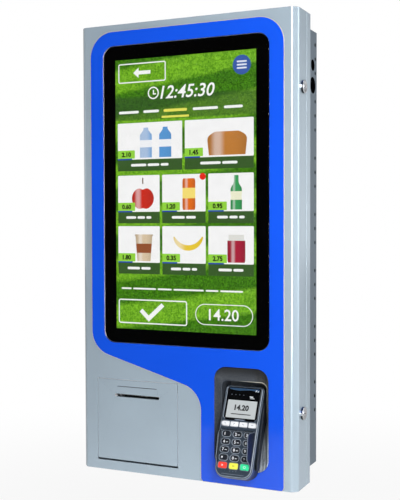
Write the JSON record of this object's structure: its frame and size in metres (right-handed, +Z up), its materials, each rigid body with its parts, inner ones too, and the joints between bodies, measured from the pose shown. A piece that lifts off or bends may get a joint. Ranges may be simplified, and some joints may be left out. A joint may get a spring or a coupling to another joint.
{
  "type": "self checkout kiosk",
  "caption": "Wall-hung self checkout kiosk with a portrait display in a coloured surround, a receipt printer behind a flap and a payment terminal in a recessed pocket.",
  "frame": {"origin": "middle of the cabinet's back face, which lies against the wall, at the centre of the four wall bolts", "axes": "+X to the right seen from the front, +Y from the front into the wall, +Z up"},
  "size_m": [0.4662, 0.2105, 0.881],
  "materials": {
    "silver_paint": "satin silver paint",
    "grey_paint": "satin grey paint",
    "blue_acrylic": "gloss",
    "front_glass": "polished, black border",
    "zinc_steel": "zinc plated",
    "chrome_lock": "polished",
    "display_lcd": "lit panel",
    "charcoal_plastic": "fine texture",
    "slate_plastic": "fine texture",
    "black_gloss": "gloss",
    "black_rubber": "ground",
    "paper_white": "coated",
    "white_plastic": "moulded",
    "key_plastic": "satin",
    "red_key": "satin",
    "yellow_key": "satin",
    "green_key": "satin",
    "cast_aluminium": "anodised"
  },
  "bodies": {
    "cabinet": {"rear_cabinet": "grey_paint", "cabinet_rim": "silver_paint", "lock_strikers": "zinc_steel", "power_inlet": "charcoal_plastic", "power_supply": "zinc_steel", "kiosk_computer": "cast_aluminium", "hinge_cabinet_leaf": "zinc_steel", "hinge_pin": "zinc_steel"},
    "door": {"front_door": "silver_paint", "blue_surround": "blue_acrylic", "screen_glass": "front_glass", "glass_frame": "zinc_steel", "display_panel": "display_lcd", "display_rails": "zinc_steel", "upper_lock_barrel": "chrome_lock", "lower_lock_barrel": "chrome_lock", "lock_nuts": "zinc_steel", "hinge_door_leaf": "zinc_steel", "terminal_pocket": "charcoal_plastic", "terminal_cradle": "zinc_steel", "flap_brackets": "zinc_steel", "magnetic_catch": "charcoal_plastic", "printer_chassis": "zinc_steel", "print_head": "charcoal_plastic", "printer_motor": "zinc_steel", "paper_strip": "paper_white", "terminal_base": "slate_plastic", "terminal_cover": "slate_plastic", "terminal_screen": "black_gloss", "privacy_shield": "charcoal_plastic"},
    "flap": {"printer_flap": "silver_paint", "slot_bezel": "charcoal_plastic"},
    "upper_lock": {"upper_lock_plug": "chrome_lock", "upper_lock_cam": "zinc_steel"},
    "lower_lock": {"lower_lock_plug": "chrome_lock", "lower_lock_cam": "zinc_steel"},
    "roll": {"paper_roll": "paper_white", "roll_spool": "charcoal_plastic"},
    "platen": {"platen_roller": "black_rubber", "platen_gear": "white_plastic"},
    "pinion": {"motor_pinion": "white_plastic"},
    "key_1_body": {"key_1": "key_plastic"},
    "key_2_body": {"key_2": "key_plastic"},
    "key_3_body": {"key_3": "key_plastic"},
    "key_4_body": {"key_4": "key_plastic"},
    "key_5_body": {"key_5": "key_plastic"},
    "key_6_body": {"key_6": "key_plastic"},
    "key_7_body": {"key_7": "key_plastic"},
    "key_8_body": {"key_8": "key_plastic"},
    "key_9_body": {"key_9": "key_plastic"},
    "key_dot_body": {"key_dot": "key_plastic"},
    "key_0_body": {"key_0": "key_plastic"},
    "key_star_body": {"key_star": "key_plastic"},
    "key_red_body": {"key_red": "red_key"},
    "key_yellow_body": {"key_yellow": "yellow_key"},
    "key_green_body": {"key_green": "green_key"},
    "soft_key_1_body": {"soft_key_1": "white_plastic"},
    "soft_key_2_body": {"soft_key_2": "white_plastic"},
    "soft_key_3_body": {"soft_key_3": "white_plastic"},
    "soft_key_4_body": {"soft_key_4": "white_plastic"}
  },
  "joints": [
    {"name": "door_hinge", "type": "hinge", "parent": "cabinet", "child": "door", "pos_m": [-0.231, -0.1125, 0], "axis": [0, 0, -1], "range_deg": [0, 110]},
    {"name": "upper_lock_turn", "type": "hinge", "parent": "door", "child": "upper_lock", "pos_m": [0.21, -0.135, 0.3], "axis": [-1, 0, 0], "range_deg": [0, 90]},
    {"name": "lower_lock_turn", "type": "hinge", "parent": "door", "child": "lower_lock", "pos_m": [0.21, -0.135, -0.3], "axis": [-1, 0, 0], "range_deg": [0, 90]},
    {"name": "flap_hinge", "type": "hinge", "parent": "door", "child": "flap", "pos_m": [-0.1032, -0.162, -0.273], "axis": [-1, 0, 0], "range_deg": [0, 95]},
    {"name": "roll_spin", "type": "hinge", "parent": "door", "child": "roll", "pos_m": [-0.1032, -0.105, -0.3561], "axis": [1, 0, 0], "continuous": true},
    {"name": "platen_spin", "type": "hinge", "parent": "door", "child": "platen", "pos_m": [-0.1032, -0.135, -0.2981], "axis": [1, 0, 0], "continuous": true},
    {"name": "pinion_spin", "type": "hinge", "parent": "door", "child": "pinion", "pos_m": [-0.1032, -0.13899, -0.31606], "axis": [1, 0, 0], "continuous": true},
    {"name": "key_1_press", "type": "slide", "parent": "door", "child": "key_1_body", "axis": [0, 0.9397, -0.342], "range_m": [0, 0.0012], "stiffness_N_per_m": 300},
    {"name": "key_2_press", "type": "slide", "parent": "door", "child": "key_2_body", "axis": [0, 0.9397, -0.342], "range_m": [0, 0.0012], "stiffness_N_per_m": 300},
    {"name": "key_3_press", "type": "slide", "parent": "door", "child": "key_3_body", "axis": [0, 0.9397, -0.342], "range_m": [0, 0.0012], "stiffness_N_per_m": 300},
    {"name": "key_4_press", "type": "slide", "parent": "door", "child": "key_4_body", "axis": [0, 0.9397, -0.342], "range_m": [0, 0.0012], "stiffness_N_per_m": 300},
    {"name": "key_5_press", "type": "slide", "parent": "door", "child": "key_5_body", "axis": [0, 0.9397, -0.342], "range_m": [0, 0.0012], "stiffness_N_per_m": 300},
    {"name": "key_6_press", "type": "slide", "parent": "door", "child": "key_6_body", "axis": [0, 0.9397, -0.342], "range_m": [0, 0.0012], "stiffness_N_per_m": 300},
    {"name": "key_7_press", "type": "slide", "parent": "door", "child": "key_7_body", "axis": [0, 0.9397, -0.342], "range_m": [0, 0.0012], "stiffness_N_per_m": 300},
    {"name": "key_8_press", "type": "slide", "parent": "door", "child": "key_8_body", "axis": [0, 0.9397, -0.342], "range_m": [0, 0.0012], "stiffness_N_per_m": 300},
    {"name": "key_9_press", "type": "slide", "parent": "door", "child": "key_9_body", "axis": [0, 0.9397, -0.342], "range_m": [0, 0.0012], "stiffness_N_per_m": 300},
    {"name": "key_dot_press", "type": "slide", "parent": "door", "child": "key_dot_body", "axis": [0, 0.9397, -0.342], "range_m": [0, 0.0012], "stiffness_N_per_m": 300},
    {"name": "key_0_press", "type": "slide", "parent": "door", "child": "key_0_body", "axis": [0, 0.9397, -0.342], "range_m": [0, 0.0012], "stiffness_N_per_m": 300},
    {"name": "key_star_press", "type": "slide", "parent": "door", "child": "key_star_body", "axis": [0, 0.9397, -0.342], "range_m": [0, 0.0012], "stiffness_N_per_m": 300},
    {"name": "key_red_press", "type": "slide", "parent": "door", "child": "key_red_body", "axis": [0, 0.9397, -0.342], "range_m": [0, 0.0012], "stiffness_N_per_m": 300},
    {"name": "key_yellow_press", "type": "slide", "parent": "door", "child": "key_yellow_body", "axis": [0, 0.9397, -0.342], "range_m": [0, 0.0012], "stiffness_N_per_m": 300},
    {"name": "key_green_press", "type": "slide", "parent": "door", "child": "key_green_body", "axis": [0, 0.9397, -0.342], "range_m": [0, 0.0012], "stiffness_N_per_m": 300},
    {"name": "soft_key_1_press", "type": "slide", "parent": "door", "child": "soft_key_1_body", "axis": [0, 0.9033, -0.4289], "range_m": [0, 0.0012], "stiffness_N_per_m": 300},
    {"name": "soft_key_2_press", "type": "slide", "parent": "door", "child": "soft_key_2_body", "axis": [0, 0.9033, -0.4289], "range_m": [0, 0.0012], "stiffness_N_per_m": 300},
    {"name": "soft_key_3_press", "type": "slide", "parent": "door", "child": "soft_key_3_body", "axis": [0, 0.9033, -0.4289], "range_m": [0, 0.0012], "stiffness_N_per_m": 300},
    {"name": "soft_key_4_press", "type": "slide", "parent": "door", "child": "soft_key_4_body", "axis": [0, 0.9033, -0.4289], "range_m": [0, 0.0012], "stiffness_N_per_m": 300}
  ],
  "couplings": [
    {"joint": "pinion_spin", "follows": "platen_spin", "ratio": -2.2857}
  ]
}
